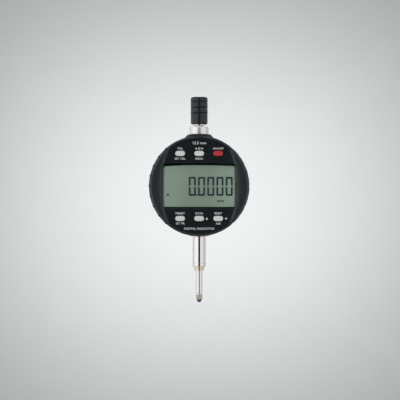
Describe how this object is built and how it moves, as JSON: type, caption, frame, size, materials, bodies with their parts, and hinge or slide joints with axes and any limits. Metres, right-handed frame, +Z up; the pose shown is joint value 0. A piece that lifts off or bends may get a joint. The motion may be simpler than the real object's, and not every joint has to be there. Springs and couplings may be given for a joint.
{
  "type": "digital dial indicator",
  "caption": "Digital dial indicator with a swivelling round display and keys on a rear housing, a plain stem, a sprung measuring spindle with ball contact, and a ribbed lifting cap",
  "frame": {"origin": "on the spindle axis at mid-length of the exposed 8 mm stem", "axes": "+Z up along the spindle, away from the contact point; the display faces -Y; +X is to the right of someone reading the display"},
  "size_m": [0.0623, 0.0271, 0.1281],
  "materials": {
    "black_moulding": "fine satin moulded plastic",
    "housing_black": "satin moulded plastic",
    "cap_black": "polished black plastic",
    "polished_steel": "ground and polished hardened stainless steel",
    "satin_steel": "turned steel",
    "brass": "turned brass",
    "carbide": "lapped dark carbide",
    "window": "clear acrylic",
    "lcd_glass": "grey-green liquid-crystal cell behind a polariser",
    "dark_plastic": "moulded plastic",
    "circuit_board": "solder-masked glass-fibre board",
    "chip_black": "moulded epoxy",
    "component_tan": "ceramic",
    "connector_ivory": "connector plastic",
    "silicone_grey": "silicone rubber",
    "seal_black": "nitrile rubber",
    "elastomer_pink": "layered conductive elastomer",
    "polyimide": "polyimide film with copper tracks",
    "key_grey": "satin light grey plastic",
    "key_red": "satin red plastic",
    "frame_alloy": "machined aluminium",
    "screw_steel": "zinc-plated screw steel",
    "contact_spring": "nickel-silver spring strip",
    "cell_steel": "nickel-plated steel can",
    "scale_gold": "gold-plated scale tracks",
    "spring_steel": "spring steel"
  },
  "bodies": {
    "housing": {"rear_housing": "housing_black", "back_cover": "housing_black", "back_cover_seal": "seal_black", "back_cover_screws": "screw_steel", "battery_holder": "dark_plastic", "coin_cell": "cell_steel", "battery_contact_plus": "contact_spring", "battery_contact_minus": "contact_spring", "mounting_stem": "polished_steel", "stem_lock_nut": "screw_steel", "lower_guide_bush": "brass", "spindle_wiper": "seal_black", "upper_sleeve": "polished_steel", "upper_guide_bush": "brass", "guide_frame": "frame_alloy", "frame_screws": "screw_steel", "guide_rod": "satin_steel", "stop_washer": "seal_black", "sensor_board": "circuit_board", "sensor_chip": "chip_black", "sensor_board_screws": "screw_steel", "flex_connector_rear": "connector_ivory", "data_connector": "satin_steel"},
    "spindle": {"spindle": "polished_steel", "contact_body": "satin_steel", "contact_ball": "carbide", "lifting_cap": "cap_black", "cap_insert": "polished_steel", "scale_carrier": "frame_alloy", "scale_strip": "scale_gold", "carrier_screw": "screw_steel", "return_spring": "spring_steel"},
    "display": {"front_bezel": "black_moulding", "display_lens": "window", "lcd_panel": "lcd_glass", "lcd_frame": "dark_plastic", "zebra_strips": "elastomer_pink", "display_board": "circuit_board", "board_screws": "screw_steel", "microcontroller": "chip_black", "board_components": "component_tan", "keypad_mat_upper": "silicone_grey", "keypad_mat_lower": "silicone_grey", "flex_connector_front": "connector_ivory", "display_base": "dark_plastic", "base_screws": "screw_steel", "swivel_retaining_ring": "spring_steel", "swivel_washer": "seal_black", "flex_cable": "polyimide"},
    "key_tolerance": {"button_tolerance": "key_grey"},
    "key_menu": {"button_menu": "key_grey"},
    "key_power": {"button_power": "key_red"},
    "key_preset": {"button_preset": "key_grey"},
    "key_data": {"button_data": "key_grey"},
    "key_reset": {"button_reset": "key_grey"},
    "battery_lift": {"battery_cover_seal": "seal_black"},
    "battery_cover": {"battery_cover": "dark_plastic"},
    "data_port_cover": {"data_port_cover": "seal_black"}
  },
  "joints": [
    {"name": "spindle_slide", "type": "slide", "parent": "housing", "child": "spindle", "axis": [0, 0, 1], "range_m": [0, 0.0125], "stiffness_N_per_m": 25, "springref_m": -0.03, "deforming": ["return_spring"]},
    {"name": "display_swivel", "type": "hinge", "parent": "housing", "child": "display", "pos_m": [0, 0, 0.04065], "axis": [0, -1, 0], "range_deg": [-140, 140], "deforming": ["flex_cable"]},
    {"name": "key_tolerance_press", "type": "slide", "parent": "display", "child": "key_tolerance", "axis": [0, 1, 0], "range_m": [0, 0.0004], "stiffness_N_per_m": 3000, "springref_m": -0.0002, "deforming": ["keypad_mat_upper"]},
    {"name": "key_menu_press", "type": "slide", "parent": "display", "child": "key_menu", "axis": [0, 1, 0], "range_m": [0, 0.0004], "stiffness_N_per_m": 3000, "springref_m": -0.0002, "deforming": ["keypad_mat_upper"]},
    {"name": "key_power_press", "type": "slide", "parent": "display", "child": "key_power", "axis": [0, 1, 0], "range_m": [0, 0.0004], "stiffness_N_per_m": 3000, "springref_m": -0.0002, "deforming": ["keypad_mat_upper"]},
    {"name": "key_preset_press", "type": "slide", "parent": "display", "child": "key_preset", "axis": [0, 1, 0], "range_m": [0, 0.0004], "stiffness_N_per_m": 3000, "springref_m": -0.0002, "deforming": ["keypad_mat_lower"]},
    {"name": "key_data_press", "type": "slide", "parent": "display", "child": "key_data", "axis": [0, 1, 0], "range_m": [0, 0.0004], "stiffness_N_per_m": 3000, "springref_m": -0.0002, "deforming": ["keypad_mat_lower"]},
    {"name": "key_reset_press", "type": "slide", "parent": "display", "child": "key_reset", "axis": [0, 1, 0], "range_m": [0, 0.0004], "stiffness_N_per_m": 3000, "springref_m": -0.0002, "deforming": ["keypad_mat_lower"]},
    {"name": "battery_cover_lift", "type": "slide", "parent": "housing", "child": "battery_lift", "axis": [0, 1, 0], "range_m": [0, 0.0025]},
    {"name": "battery_cover_turn", "type": "hinge", "parent": "battery_lift", "child": "battery_cover", "pos_m": [0.017, 0.0085, 0.04065], "axis": [0, -1, 0], "range_deg": [0, 720]},
    {"name": "data_port_cover_pull", "type": "slide", "parent": "housing", "child": "data_port_cover", "axis": [-1, 0, 0], "range_m": [0, 0.006]}
  ],
  "couplings": [
    {"joint": "battery_cover_turn", "follows": "battery_cover_lift", "rad_per_m": 5026.5}
  ]
}
